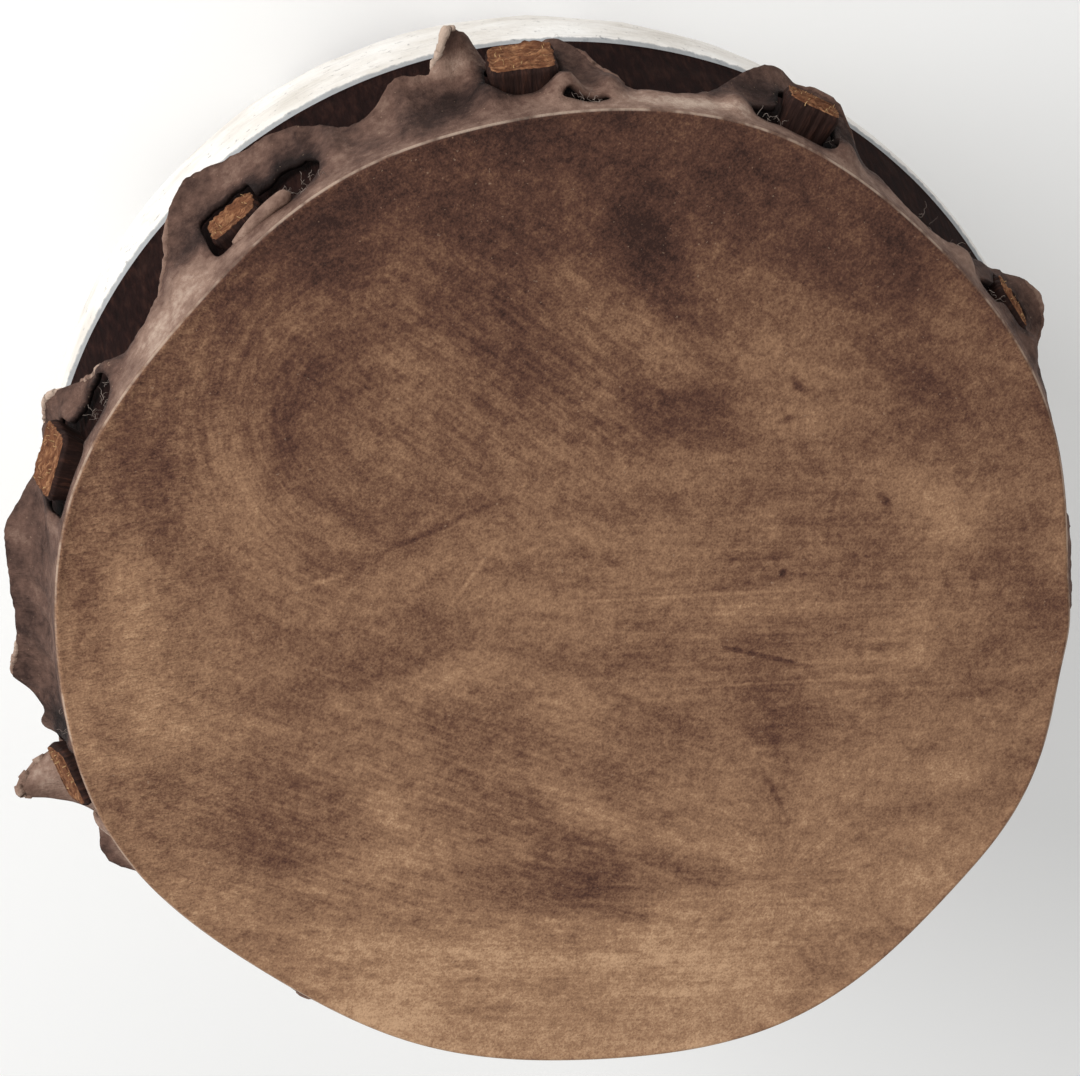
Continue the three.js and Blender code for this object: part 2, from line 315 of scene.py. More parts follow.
def clay_finish():
    """Pale clay wash: chalky, grey in its pits and streaks, and rubbed off where the drum is handled."""
    clay = Finish("pale_clay_wash", gloss=0.25)
    height = clay.axis("Z")
    streak = clay.grain(1, 5, 0.62, clay.turned(size=(30, 30, 1.8)))
    cloud = clay.grain(34, 5, 0.6)
    pits = clay.grain(3.2, 3, 0.6)
    upright = clay.grain(1, 5, 0.6, clay.turned(size=(2.6, 2.6, 50)))
    wash = clay.ramp(cloud, [(0.3, 208, 201, 191), (0.5, 231, 226, 219), (0.7, 243, 240, 235)])
    wash = clay.blend(clay.between(streak, 0.56, 0.72, 0, 0.5), wash, tone(186, 182, 178))
    wash = clay.blend(clay.between(pits, 0.62, 0.7, 0, 0.6), wash, tone(150, 146, 143))
    bare = clay.ramp(upright, [(0.3, 58, 41, 33), (0.6, 98, 74, 58), (0.8, 128, 101, 80)])
    clay_wear_and_rim_highlight = clay.grain(46, 8, 0.68)
    low = clay.between(height, 30, 240, 0.11, -0.14)
    scuffed = clay.between(height, 0, 16, 0.14, 0)
    clay_wear_and_rim_highlight = clay.maths("ADD", clay.maths("ADD", clay_wear_and_rim_highlight, low), scuffed)
    clay_wear_and_rim_highlight = clay.maths("ADD", clay_wear_and_rim_highlight, clay.maths("MULTIPLY", upright, 0.12))
    colour = clay.blend(clay.between(clay_wear_and_rim_highlight, 0.68, 0.72), wash, bare)
    # A thin blue-grey line of painted shade along the top edge of the wash, on the step below the neck.
    edge = clay.between(clay.maths("ADD", height, clay.maths("MULTIPLY", pits, 2)), 300.6, 301.6, 0, 0.75)
    colour = clay.blend(edge, colour, tone(120, 126, 132))
    rough = clay.between(clay_wear_and_rim_highlight, 0.5, 0.75, 0.9, 0.7)
    normal = clay.relief(streak, 0.5)
    normal = clay.relief(pits, 0.5, normal)
    normal = clay.relief(clay.between(clay_wear_and_rim_highlight, 0.68, 0.72, 1, 0), 0.35, normal)
    return clay.done(colour, rough, normal)


def hollow_finish():
    """Bare brown wood, dry and furry from the adze, with its grain running up the log."""
    wood = Finish("raw_hollow", gloss=0.25)
    grain = wood.grain(1, 6, 0.6, wood.turned(size=(2.4, 2.4, 60)))
    cloud = wood.grain(60, 4, 0.6)
    colour = wood.ramp(grain, [(0.25, 70, 48, 35), (0.5, 112, 82, 60), (0.75, 146, 113, 85)])
    colour = wood.blend(wood.between(cloud, 0.45, 0.75, 0, 0.5), colour, tone(62, 45, 36))
    normal = wood.relief(grain, 0.9)
    return wood.done(colour, wood.between(grain, 0.3, 0.7, 0.9, 0.78), normal)


def foot_finish():
    """The foot's edge, where the wash has gone and floors have scuffed and darkened the wood."""
    wood = Finish("scuffed_foot", gloss=0.35)
    grain = wood.grain(1, 6, 0.6, wood.turned(size=(2.4, 2.4, 40)))
    scuff = wood.grain(14, 6, 0.7)
    colour = wood.ramp(grain, [(0.25, 50, 35, 28), (0.55, 84, 62, 49), (0.8, 112, 87, 69)])
    colour = wood.blend(wood.between(scuff, 0.5, 0.56, 0, 0.85), colour, tone(206, 198, 188))
    normal = wood.relief(grain, 0.7)
    return wood.done(colour, wood.between(scuff, 0.4, 0.7, 0.62, 0.85), normal)


shell_rings = shell_profile()
even_turns = np.linspace(0, 360, SHELL_COLUMNS, endpoint=False)
crack_turns = [at + off for at, *_ in DRYING_CRACKS for off in np.arange(-1.6, 1.61, 0.3)]
shell_turns = np.radians(np.unique(np.round(np.concatenate([even_turns, crack_turns]), 3)))
shell_points = [shell_point(r, z, name, turn) for r, z, name in shell_rings for turn in shell_turns]
shell_faces = closed_grid(len(shell_rings), len(shell_turns), wrap_rows=True)
region_finish = {"neck": 0, "belly": 1, "bowl": 1, "foot": 2, "hollow": 3}
shell = new_piece(
    "log_shell", shell_points, shell_faces,
    [neck_finish(), clay_finish(), foot_finish(), hollow_finish()],
    np.repeat([region_finish[name] for _, _, name in shell_rings], len(shell_turns)),
)
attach(shell, "root")
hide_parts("shell")

# The head is one wetted hide, pulled down over the rim and pegged, then left to dry hard. It hugs the neck
# between the pegs, and beside each peg the spare hide dried in puckers that curl off the wood. Sizes in mm.
HIDE_TOP = 380
HEAD_RADIUS = 180
HIDE_THICKNESS = 2.2
RIM_BEND = 2.6
PEG_DEPTH = 28
CURL_ABOVE_PEGS = 9
SKIRT_PAST_CURL = 3.5
SKIRT_BELOW_PEG = 10
PEG_PULL = 5.5
MOST_CURL = 105
CURL_EASE = 1.3
HIDE_COLUMNS = 960
COLUMNS_PER_HEAD_COLUMN = 2
HEAD_RINGS = 58
UNDERSIDE_RINGS = 8
BEND_ROWS = 6
SKIRT_ROWS = 26
FIRST_COLUMN_TURN = -15.5
HOLE_CLEARANCE = 0.7
HUG_LENGTH = PEG_DEPTH - RIM_BEND - CURL_ABOVE_PEGS

# Puckers beside each peg: degrees from the peg, spare length, curl of the edge in degrees, half width.
PEG_PUCKERS = [
    [(7, 6, 4, 4), (-8, 6, 6, 4)],
    [(5, 1, 4, 3), (-3.6, 10, 50, 3.3)],
    [(5.2, 11, 42, 3.4), (-3.2, 5, 36, 2.4)],
    [(5.4, 10, 46, 1.5), (7.1, 9.5, 66, 1.5), (12.3, 16.5, 64, 2.6), (-4.8, 9, 40, 2.6)],
    [(4.4, 13, 50, 4.5), (-10, 18, 46, 5.5)],
    [(10, 21, 46, 4.4), (20.5, 25, 52, 6), (26.5, 15, 26, 2.2), (-5, 12, 36, 4)],
    [(-4.6, 6, 34, 2), (1.1, 13.5, 70, 1.4), (3.4, 11, 60, 1.8), (12, 24, 66, 3.6)],
    [(9, 18, 50, 5), (-7, 12, 40, 3.5)],
    [(8, 24, 56, 3.8), (-7, 14, 40, 3.4)],
    [(6, 14, 40, 5), (-9, 16, 42, 4)],
    [(9, 14, 34, 4.4), (-6, 12, 38, 3.4)],
]

# How far each peg's hole runs on towards the rim, where the knife's cut was longer than the peg is thick.
HOLE_RUNS_ON = [2, 2.5, 9, 2, 8, 12, 12, 2, 2, 2, 2]

# Where the hide's edge stops short and the neck shows: turn, how much shorter and half width in degrees.
SHORT_PLACES = [(191.4, 7, 1.1), (112.5, 3, 3), (80, 4, 4), (49, 11, 5.5)]

# The knife's slits beside the pegs: turn, distance below the bend, half widths in degrees and in mm.
SLITS = [
    (88.9, 7.5, 2.9, 2.7), (121.8, 17.5, 4.2, 10.5), (154.6, 17, 4.4, 11), (69.6, 15, 2.0, 7),
    (37.6, 14, 1.8, 5.5), (224, 12, 1.6, 1.6), (290, 13, 1.5, 1.5), (9, 12, 1.4, 1.4),
]

# Bulges of the stiff hide beside the slits: turn, distance below the bend, rise, half widths.
BULGES = [
    (91.0, 13, 6.5, 1.1, 5), (98.6, 17, 3.5, 1.0, 6), (137, 19, 4.5, 2.0, 8), (60.4, 11, 4.5, 1.2, 5),
    (29.2, 14, 3.5, 1.2, 5), (167.6, 18, 2.4, 1.4, 7), (204.0, 14, 3.0, 1.2, 5), (107.5, 20, 2.5, 1.2, 8),
    (73, 14, 3.4, 1.0, 6), (150, 24, 3.4, 1.3, 7), (86.2, 18, 3.6, 0.9, 6), (116, 22, 3.0, 1.2, 7),
    (42.5, 12, 3.0, 1.2, 5), (236, 18, 2.6, 1.6, 7), (256, 20, 2.6, 1.4, 7), (303, 18, 2.4, 1.6, 7),
]

# Painted light and shade: the paler places stand for light falling on the skirt, the darker ones for shade
# under its flaps and in its hollows.
# Paler and darker places on the skirt: turn, distance below the bend, half widths and how much lighter.
SKIRT_PAINTED_LIGHT_AND_SHADE = [
    (142, 9, 9, 9, 0.30), (104, 15, 3.5, 8, -0.20), (85, 8, 7, 6, 0.26), (75, 8, 5, 5, 0.26),
    (100, 26, 4, 8, -0.20), (88, 21, 3, 6, -0.20), (65, 25, 9, 9, -0.26), (55, 9, 6, 5, 0.10),
    (33, 22, 8, 10, -0.10), (44, 8, 6, 5, 0.10), (131, 27, 5, 8, -0.20), (121, 22, 4, 9, -0.34),
    (154, 18, 5, 9, -0.34), (176, 18, 13, 18, -0.07), (188, 24, 5, 10, -0.04), (210, 18, 5, 14, 0.46),
    (200.5, 34, 3.2, 16, 0.4), (193.5, 26, 2.4, 11, -0.34), (104.5, 24, 2.5, 8, -0.04),
    (102.3, 38, 1.8, 5, 0.3), (116, 9, 6, 5, -0.04), (158, 32, 2.5, 5, 0.34),
]

# A strip of hide beside the fifth peg dried into a roll like a finger. Three spots along it as turn, depth
# and distance out from the neck.
FINGER_SPOTS = ((129.8, 13.5, 1.5), (125.6, 11.2, 4.2), (121.7, 8.5, 5.0))
FINGER_RADIUS = 2.6

# Where the free edge rolled up as it dried: the turns between which it did, the radius and how much paler.
EDGE_ROLLS = [
    (100.6, 103.9, 1.4, 0.5), (134, 141, 1.3, 0.1), (156, 161, 1.4, 0.5), (198.0, 201.4, 1.5, 0.15),
    (58, 66, 1.2, 0.0), (84, 89, 1.2, 0.05), (26, 33, 1.2, 0.05), (184, 188.5, 1.2, 0.35),
    (232, 240, 1.4, 0.1), (266, 273, 1.5, 0.1), (300, 306, 1.3, 0.1), (317, 323, 1.4, 0.1),
    (150, 154, 1.2, 0.3),
]
ROLL_STEPS = 20
ROLL_SIDES = 18
COLLAR_RISE = 1.8
COLLAR_REACH = 3.2
PLEAT_DEPTH = 2.6
SMALL_PLEAT_DEPTH = 0.9
HEAD_DIP = 0.28
THIN_EDGE = (0.95, 0.85, 0.72, 0.6)
FINGER_PALER = 0.15
ROLL_LUMPS = 0.9
TORN_PEAK = (102, 3, 3.2)
RAGGED_EDGE = 1.4
RAGGED_FINE = 0.7
HEAD_RIPPLE = 0.12
# The inside face of the hide is painted darker as shade: INSIDE_DARKER darker, with at least INSIDE_SHADE of
# the shade painted round the holes.
INSIDE_DARKER = 0.2
INSIDE_SHADE = 0.4
HEAD_MARK = (-10, 0, 0)
ROLL_DEPTH = 9


def along_across(x, y, angle):
    """How far a place lies along a direction, and across it."""
    return x * math.cos(angle) + y * math.sin(angle), y * math.cos(angle) - x * math.sin(angle)


def peg_from_frame(node):
    """Turn, width, height and reach of a peg's solid, in degrees and mm."""
    corners = np.array([vertex.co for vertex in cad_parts[node].data.vertices]) * 1000
    turns = np.arctan2(corners[:, 1], corners[:, 0])
    turn = (turns.min() + turns.max()) / 2
    out, across = along_across(corners[:, 0], corners[:, 1], turn)
    return {
        "node": node, "turn": math.degrees(turn) % 360, "tip": out.min(), "end": out.max(),
        "width": across.max() - across.min(), "height": corners[:, 2].max() - corners[:, 2].min(),
        "middle": (corners[:, 2].max() + corners[:, 2].min()) / 2,
    }


pegs = [peg_from_frame(node) for node in sorted(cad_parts) if node.startswith("peg_")]


def skirt_shape(turn):
    """Length of the hide below its bend and the curl of its edge in degrees, at each turn."""
    length = np.full(len(turn), HUG_LENGTH + SKIRT_PAST_CURL)
    curl = np.zeros(len(turn))
    for peg, puckers in zip(pegs, PEG_PUCKERS):
        away = turn_between(peg["turn"], turn)
        at_peg = PEG_DEPTH - RIM_BEND + peg["height"] / 2 + SKIRT_BELOW_PEG
        length += (at_peg - HUG_LENGTH - SKIRT_PAST_CURL) * bell(away / PEG_PULL)
        for at, spare, bend, half_width in puckers:
            length += spare * bell((away - at) / half_width)
            curl += bend * bell((away - at) / half_width)
    for at, shorter, half_width in SHORT_PLACES:
        length -= shorter * bell(turn_between(at, turn) / half_width)
    spots = [Vector((t, 3, 0)) for t in turn]
    torn_at, torn_width, torn_depth = TORN_PEAK
    torn = torn_depth * bell(turn_between(torn_at, turn) / torn_width)
    for rise, fineness in ((RAGGED_EDGE, 0.3), (RAGGED_FINE, 1.9), (torn, 1.1)):
        length += rise * np.array([noise.noise(spot * fineness) for spot in spots])
    return length, np.minimum(curl, MOST_CURL)


def hide_middle(turn):
    """The middle of the hide's thickness, from the start of the bend to the free edge, row by row."""
    bend = RIM_BEND - HIDE_THICKNESS / 2
    bend_middle = HEAD_RADIUS - RIM_BEND + rim_wave(turn)
    flare = np.arctan2(CREST_RADIUS - NECK_TOP_RADIUS - rim_wave(turn), NECK_TOP - CREST_HEIGHT)
    length, curl = skirt_shape(turn)
    rows = []
    for i in range(BEND_ROWS + 1):
        facing = math.pi / 2 * i / BEND_ROWS
        r = bend_middle + bend * math.sin(facing)
        z = np.full(len(turn), HIDE_TOP - RIM_BEND + bend * math.cos(facing))
        rows.append((r, z, flare, 0 * r + RIM_BEND * (facing - math.pi / 2)))
    r, z = rows[-1][:2]
    for k in range(1, SKIRT_ROWS + 1):
        along = length * (k - 0.5) / SKIRT_ROWS
        share = np.clip((along - HUG_LENGTH) / (length - HUG_LENGTH), 0, 1)
        swing = flare + np.radians(curl) * share ** CURL_EASE
        r = r + length / SKIRT_ROWS * np.sin(swing)
        z = z - length / SKIRT_ROWS * np.cos(swing)
        rows.append((r, z, swing, length * k / SKIRT_ROWS))
    middle = np.zeros((len(rows), len(turn), 3))
    below = np.zeros((len(rows), len(turn)))
    for i, (r, z, swing, along) in enumerate(rows):
        push = hide_push(turn, along)
        r = r + push * np.cos(swing)
        z = z + push * np.sin(swing)
        middle[i] = np.stack([r * np.cos(np.radians(turn)), r * np.sin(np.radians(turn)), z], axis=1)
        below[i] = along
    return middle, below


def hide_push(turn, along):
    """How far pleats, bulges and the collars round the pegs push the hide out from its even form."""
    push = np.zeros(len(turn))
    for at, depth, rise, half_turn, half_depth in BULGES:
        push += rise * bell(turn_between(at, turn) / half_turn) * bell((along - depth) / half_depth)
    for peg in pegs:
        across = np.abs(turn_between(peg["turn"], turn)) * math.pi / 180 * HEAD_RADIUS - peg["width"] / 2
        down = np.abs(along - PEG_DEPTH + RIM_BEND) - peg["height"] / 2
        away = np.hypot(np.maximum(across, 0), np.maximum(down, 0))
        push += COLLAR_RISE * bell(away / COLLAR_REACH) * (along > 2)
    free = np.clip((along - 5) / 22, 0, 1)
    for j, t in enumerate(turn):
        if free[j] > 0:
            pleat = 0.45 - abs(noise_at(t * 0.34, along[j] / 60, 5))
            small = 0.4 - abs(noise_at(t * 0.85, along[j] / 34, 9))
            push[j] += free[j] * (PLEAT_DEPTH * pleat + SMALL_PLEAT_DEPTH * small)
    return push * np.clip((along + 0.5) / 3, 0, 1)


def head_drop(x, y):
    """How far the stretched head dips below its highest point."""
    spot = Vector((x / 70, y / 70, 1))
    return HEAD_DIP * (1 + noise.noise(spot)) + HEAD_RIPPLE * noise.noise(spot * 4)


def hole_cells(middle, below, turn):
    """The cells of the skirt that the pegs' holes and the slits take away."""
    centre = (middle[:-1] + np.roll(middle, -1, 1)[:-1] + middle[1:] + np.roll(middle, -1, 1)[1:]) / 4
    depth = (below[:-1] + below[1:]) / 2
    middle_turn = turn + 180 / HIDE_COLUMNS
    gone = np.zeros(depth.shape, bool)
    for peg, run_on in zip(pegs, HOLE_RUNS_ON):
        out, across = along_across(centre[..., 0], centre[..., 1], math.radians(peg["turn"]))
        up = centre[..., 2] - peg["middle"]
        wide = np.abs(across) < peg["width"] / 2 + HOLE_CLEARANCE
        high = (up < peg["height"] / 2 + run_on) & (up > -peg["height"] / 2 - HOLE_CLEARANCE)
        gone |= wide & high & (out > 0)
    for at, down, half_turn, half_depth in SLITS:
        off = turn_between(at, middle_turn) / half_turn
        gone |= np.square(off)[None, :] + np.square((depth - down) / half_depth) < 1
    gone[:BEND_ROWS + 1] = False
    gone[-3:] = False
    return gone


def near_holes(gone):
    """How near each corner of the grid is to a hole, from 0 to 1, for the shade painted round the holes."""
    rim = np.zeros((gone.shape[0] + 1, gone.shape[1]))
    for part in (rim[:-1], rim[1:]):
        for on in (0, 1):
            np.maximum(part, np.roll(gone, on, 1), out=part)
    for _ in range(3):
        rim[1:-1] = (rim[:-2] + rim[1:-1] + rim[2:]) / 3
        rim = (np.roll(rim, 1, 1) + rim + np.roll(rim, -1, 1)) / 3
    return rim


def painted_skirt_light_and_shade(turn, below):
    """How much lighter or darker each corner of the skirt is painted than the rest of it, as painted light
    and shade.
    """
    # Painted light just below the bend and painted shade lower down, where the skirt turns from the light.
    change = np.interp(below, [0, 12, 30], [0.06, 0.04, -0.08])
    wander = np.array([1.2 * noise_at(t * 0.4, 0, 3) for t in turn])
    for at, depth, half_turn, half_depth, lighter in SKIRT_PAINTED_LIGHT_AND_SHADE:
        across = turn_between(at, turn + wander)[None, :] / half_turn
        change += lighter * bell(np.hypot(across, (below - depth) / half_depth))
    return change


def smooth_hole_edges(gone, rounds=8):
    """Row and column of each corner of the grid, with the steps round the holes evened out."""
    rows, columns = gone.shape[0] + 1, gone.shape[1]
    row, column = np.meshgrid(np.arange(rows, dtype=float), np.arange(columns, dtype=float), indexing="ij")
    beside = {}
    for i, j in zip(*np.nonzero(gone)):
        a, b, c, d = (i, j), (i, j + 1), (i + 1, j + 1), (i + 1, j)
        sides = (((i - 1, j), a, b), ((i + 1, j), d, c), ((i, j - 1), a, d), ((i, j + 1), b, c))
        for other, start, end in sides:
            if not gone[other]:
                beside.setdefault(start, []).append(end)
                beside.setdefault(end, []).append(start)
    spots = {spot: spot for spot in beside}
    for _ in range(rounds):
        spots = {
            spot: tuple((np.array(place) + np.mean([spots[n] for n in beside[spot]], axis=0)) / 2)
            for spot, place in spots.items()
        }
    for (i, j), (new_row, new_column) in spots.items():
        row[i, j] = new_row
        column[i, j] = new_column
    return row, column


def sampled(grid, row, column):
    """The grid's value between its rows and columns."""
    i = np.clip(np.floor(row).astype(int), 0, grid.shape[0] - 2)
    j = np.floor(column).astype(int)
    u = (row - i)[..., None]
    v = (column - j)[..., None]
    a, b = grid[i, j % grid.shape[1]], grid[i, (j + 1) % grid.shape[1]]
    c, d = grid[i + 1, j % grid.shape[1]], grid[i + 1, (j + 1) % grid.shape[1]]
    return (a * (1 - v) + b * v) * (1 - u) + (c * (1 - v) + d * v) * u


def hide_normals(middle):
    down = np.gradient(middle, axis=0)
    round_ = np.roll(middle, -1, 1) - np.roll(middle, 1, 1)
    normal = np.cross(down, round_)
    return normal / np.linalg.norm(normal, axis=-1, keepdims=True)


def head_disc(edge, edge_start, rings, height_of, start):
    """Points and faces of a round sheet inside the bend's first row, from its centre outwards."""
    columns = HIDE_COLUMNS // COLUMNS_PER_HEAD_COLUMN
    coarse = edge[::COLUMNS_PER_HEAD_COLUMN, :2]
    points = []
    for ring in range(1, rings):
        for x, y in coarse * ring / rings:
            points.append((x, y, height_of(x, y)))
    points.append((0, 0, height_of(0, 0)))
    centre = start + len(points) - 1
    faces = []
    for j in range(columns):
        on = (j + 1) % columns
        faces.append((centre, start + j, start + on))
        for ring in range(rings - 2):
            a, b = start + ring * columns, start + (ring + 1) * columns
            faces.append((a + j, b + j, b + on, a + on))
        last = start + (rings - 2) * columns
        first = COLUMNS_PER_HEAD_COLUMN * j
        outer = [edge_start + (first + k) % HIDE_COLUMNS for k in range(COLUMNS_PER_HEAD_COLUMN + 1)]
        faces.append((last + j, *outer, last + on))
    return points, faces


def tube(path, radii, sides, start):
    """Points and faces of a tapering tube along a path, closed at both ends."""
    path = np.asarray(path, float)
    points = []
    side = np.array([0.3, 0.2, 0.9])
    for here, ahead, radius in zip(path, np.gradient(path, axis=0), radii):
        ahead = ahead / np.linalg.norm(ahead)
        one = np.cross(ahead, side)
        one = one / np.linalg.norm(one)
        two = np.cross(ahead, one)
        for k in range(sides):
            angle = 2 * math.pi * k / sides
            points.append(here + radius * (math.cos(angle) * one + math.sin(angle) * two))
    faces = [
        (start + a * sides + k, start + a * sides + (k + 1) % sides,
         start + (a + 1) * sides + (k + 1) % sides, start + (a + 1) * sides + k)
        for a in range(len(path) - 1) for k in range(sides)
    ]
    faces.append([start + k for k in reversed(range(sides))])
    faces.append([start + (len(path) - 1) * sides + k for k in range(sides)])
    return points, faces


def on_neck(turn, depth, out):
    """A point that far out from the neck's wall, at a turn and a depth below the head."""
    share = (depth - HIDE_TOP + NECK_TOP) / (NECK_TOP - CREST_HEIGHT)
    radius = NECK_TOP_RADIUS + (CREST_RADIUS - NECK_TOP_RADIUS) * share + rim_wave(turn) * (1 - share) + out
    return np.array(round_axis(radius, math.radians(turn), HIDE_TOP - depth))


def rolled_finger():
    """Path and radii of the finger-like roll, thinner at its root and blunt at its tip."""
    shares = np.linspace(0, 1, ROLL_STEPS)
    a, b, c = (on_neck(*spot) for spot in FINGER_SPOTS)
    path = [a * (1 - u) * (1 - 2 * u) + 4 * b * u * (1 - u) + c * u * (2 * u - 1) for u in shares]
    tip = np.sqrt(np.clip(1 - np.square(np.clip((shares - 0.87) / 0.13, 0, 1)), 0.03, 1))
    return path, FINGER_RADIUS * (0.8 + 0.25 * shares) * tip


def rolled_edge(edge, start, end, radius):
    """Path and radii of a roll along the hide's free edge, between two turns."""
    turns = np.linspace(start, end, ROLL_STEPS) - FIRST_COLUMN_TURN
    columns = turns / 360 * HIDE_COLUMNS
    path = edge[np.round(columns).astype(int) % HIDE_COLUMNS]
    shares = np.linspace(-1, 1, ROLL_STEPS)
    lumps = np.array([1 + ROLL_LUMPS * noise_at(5 * u, start, 2) for u in shares])
    return path, radius * np.sqrt(np.clip(1 - np.abs(shares) ** 3, 0.03, 1)) * lumps


def hide_mesh():
    """Outer and inner face of the whole hide, joined along the free edge and round every hole.

    Each point also has its distance below the bend, its painted light and shade, and how near a hole it is,
    for the painted shade round the holes.
    """
    turn = FIRST_COLUMN_TURN + 360 * np.arange(HIDE_COLUMNS) / HIDE_COLUMNS
    middle, below = hide_middle(turn)
    normal = hide_normals(middle)
    gone = hole_cells(middle, below, turn)
    row, column = smooth_hole_edges(gone)
    near = near_holes(gone)
    change = painted_skirt_light_and_shade(turn, below)
    outside = np.stack([below, change, near], axis=-1).reshape(-1, 3)
    # Painted shade on the inside face: darker everywhere, and shaded as if near a hole.
    near_inside = INSIDE_SHADE + (1 - INSIDE_SHADE) * near
    inside = np.stack([below, change - INSIDE_DARKER, near_inside], axis=-1).reshape(-1, 3)
    middle = sampled(middle, row, column)
    normal = sampled(normal, row, column)
    normal /= np.linalg.norm(normal, axis=-1, keepdims=True)
    thin = np.ones(below.shape[0])
    thin[-len(THIN_EDGE):] = THIN_EDGE
    offset = normal * (HIDE_THICKNESS / 2 * thin)[:, None, None]
    rows = below.shape[0]
    layer = rows * HIDE_COLUMNS
    points = np.concatenate([(middle + offset).reshape(-1, 3), (middle - offset).reshape(-1, 3)])
    for j in range(HIDE_COLUMNS):
        points[j, 2] = HIDE_TOP - head_drop(*points[j, :2])
    index = np.arange(layer).reshape(rows, HIDE_COLUMNS)
    on = np.roll(index, -1, 1)
    a, b, c, d = index[:-1], index[1:], on[1:], on[:-1]
    kept = ~gone
    faces = np.stack([a, b, c, d], -1)[kept].tolist()
    faces += (np.stack([d, c, b, a], -1)[kept] + layer).tolist()
    skin = len(faces)
    sides = [
        (np.roll(gone, 1, 1), a, b), (np.roll(gone, -1, 1), c, d),
        (np.vstack([gone[1:], np.ones((1, HIDE_COLUMNS), bool)]), b, c),
        (np.vstack([np.zeros((1, HIDE_COLUMNS), bool), gone[:-1]]), d, a),
    ]
    finish = [0] * skin
    for away, first, second in sides:
        open_ = kept & away
        p, q = first[open_], second[open_]
        faces += np.stack([q, p, p + layer, q + layer], -1).tolist()
        finish += [1 if at // HIDE_COLUMNS == rows - 1 else 0 for at in q]
    points = points.tolist()
    top, top_faces = head_disc(
        np.array(points[:HIDE_COLUMNS]), 0, HEAD_RINGS,
        lambda x, y: HIDE_TOP - head_drop(x, y), len(points),
    )
    points += top
    faces += top_faces
    under, under_faces = head_disc(
        np.array(points[layer:layer + HIDE_COLUMNS]), layer, UNDERSIDE_RINGS,
        lambda x, y: HIDE_TOP - HIDE_THICKNESS, len(points),
    )
    points += under
    faces += [tuple(reversed(face)) for face in under_faces]
    finish += [0] * (len(top_faces) + len(under_faces))
    marks = [outside, inside, np.tile(HEAD_MARK, (len(points) - 2 * layer, 1))]
    rolls = [(*rolled_finger(), FINGER_PALER)]
    for start, end, radius, paler in EDGE_ROLLS:
        rolls.append((*rolled_edge(middle[-1], start, end, radius), paler))
    for path, radii, paler in rolls:
        roll, roll_faces = tube(path, radii, ROLL_SIDES, len(points))
        points += [tuple(point) for point in roll]
        faces += roll_faces
        finish += [0] * len(roll_faces)
        marks.append(np.tile((ROLL_DEPTH, paler, 0), (len(roll), 1)))
    marks = np.concatenate(marks)
    used = np.unique(np.concatenate([np.array(face) for face in faces]))
    renumber = np.zeros(len(points), int)
    renumber[used] = np.arange(len(used))
    faces = [[int(renumber[v]) for v in face] for face in faces]
    return np.array(points)[used], faces, finish, marks[used]


# Darker and lighter places that the scraping left on the head: x, y, half length, half width and turn of
# each in mm and degrees, and how strongly it shows.
DARK_PLACES = [
    (-90, 134, 22, 18, 0, 0.8), (-143, 76, 30, 18, 70, 0.9), (-116, 112, 22, 8, 62, 0.5),
    (-103, 64, 20, 10, 80, 0.8), (-84, 93, 8, 6, 0, 0.8), (-136, 34, 24, 9, -55, 0.8),
    (-172, 24, 22, 10, 80, 0.7), (-82, -10, 12, 9, -20, 0.9), (-110, -20, 14, 10, 60, 0.7),
    (-24, -11, 34, 11, -8, 0.7), (28, -18, 34, 7, -6, 1.0), (66, -14, 18, 7, -14, 0.9),
    (78, -44, 28, 13, -78, 1.1), (46, -45, 16, 9, -75, 0.8), (108, -33, 14, 6, 88, 0.9),
    (143, -28, 18, 8, 86, 0.8), (168, -8, 30, 9, 88, 0.7), (160, 62, 34, 18, 75, 0.7),
    (28, 137, 22, 13, -50, 1.1), (118, 126, 34, 26, -30, 0.9), (38, 74, 14, 12, 20, 1.0),
    (-20, 97, 20, 7, -22, 0.8), (124, 74, 12, 9, 0, 0.7), (-110, -72, 46, 15, -22, 0.7),
    (-20, -78, 42, 10, -22, 0.9), (18, -70, 22, 7, -35, 0.8), (-8, -103, 56, 11, -5, 0.9),
    (10, -108, 28, 9, -4, 0.8), (-73, -113, 30, 5, -6, 0.8), (64, -107, 18, 5, -8, 0.8),
    (-12, -158, 24, 8, 12, 0.6), (75, -160, 18, 10, 30, 0.5), (30, 110, 20, 10, -30, 0.5),
    (-55, 60, 18, 12, -40, 0.4), (92, 20, 18, 10, 10, 0.4), (-45, 112, 14, 8, -35, 0.6),
]
LIGHT_PLACES = [
    (-58, 124, 9, 8, 0, 0.8), (-33, 123, 13, 6, -20, 0.9), (74, 106, 18, 11, 70, 0.9),
    (6, 108, 16, 12, 0, 0.7), (78, 72, 9, 8, 0, 0.9), (48, 60, 12, 7, 20, 0.8),
    (-128, 62, 34, 8, 82, 0.6), (-95, 19, 14, 6, 12, 0.8), (-155, 0, 20, 12, -20, 0.7),
    (-143, -38, 12, 9, 0, 0.8), (-66, -20, 20, 12, 45, 0.6), (128, 0, 50, 6, 88, 0.9),
    (125, -92, 18, 12, 20, 0.8), (25, -88, 32, 5, -27, 0.9), (-60, -65, 30, 6, -22, 0.5),
    (-20, -128, 60, 14, -6, 0.7), (60, -132, 40, 12, 10, 0.7), (-90, -128, 26, 10, -30, 0.6),
    (140, -70, 24, 8, 55, 0.6), (-70, 86, 26, 16, -30, 0.5), (20, 84, 22, 12, 60, 0.6),
]

